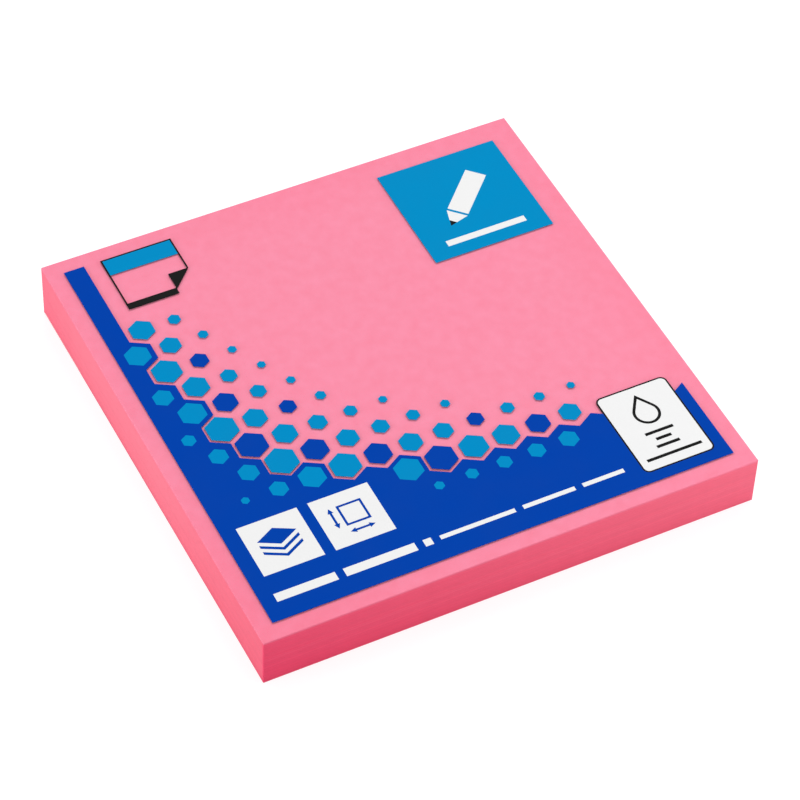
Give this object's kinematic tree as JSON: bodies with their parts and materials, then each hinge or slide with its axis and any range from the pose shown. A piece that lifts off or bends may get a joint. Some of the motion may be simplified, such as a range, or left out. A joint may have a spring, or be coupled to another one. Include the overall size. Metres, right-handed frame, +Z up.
{
  "type": "sticky note pad",
  "caption": "Square pad of pink paper notes glued along one edge, on a backing sheet, with a clear film over the top note printed with a blue honeycomb border, tags and a panel.",
  "frame": {"origin": "middle of the pad's underside, where it rests", "axes": "+X along the free edge, to the right for someone who reads the notes; +Y from the free edge to the glued edge; +Z up through the notes"},
  "size_m": [0.075, 0.075, 0.0092],
  "materials": {
    "note_paper": "matte pink uncoated paper",
    "backing_paper": "pink paper with a release coating",
    "adhesive": "thin tacky coating",
    "clear_film": "clear film",
    "dark_blue_ink": "printed ink",
    "light_blue_ink": "printed ink",
    "white_ink": "printed ink",
    "black_ink": "printed ink"
  },
  "bodies": {
    "root": {"note_sheets": "note_paper", "backing_sheet": "backing_paper", "adhesive_strip": "adhesive", "cover_film": "clear_film", "print_dark_blue": "dark_blue_ink", "print_light_blue": "light_blue_ink", "print_white": "white_ink", "print_black": "black_ink"}
  },
  "joints": []
}
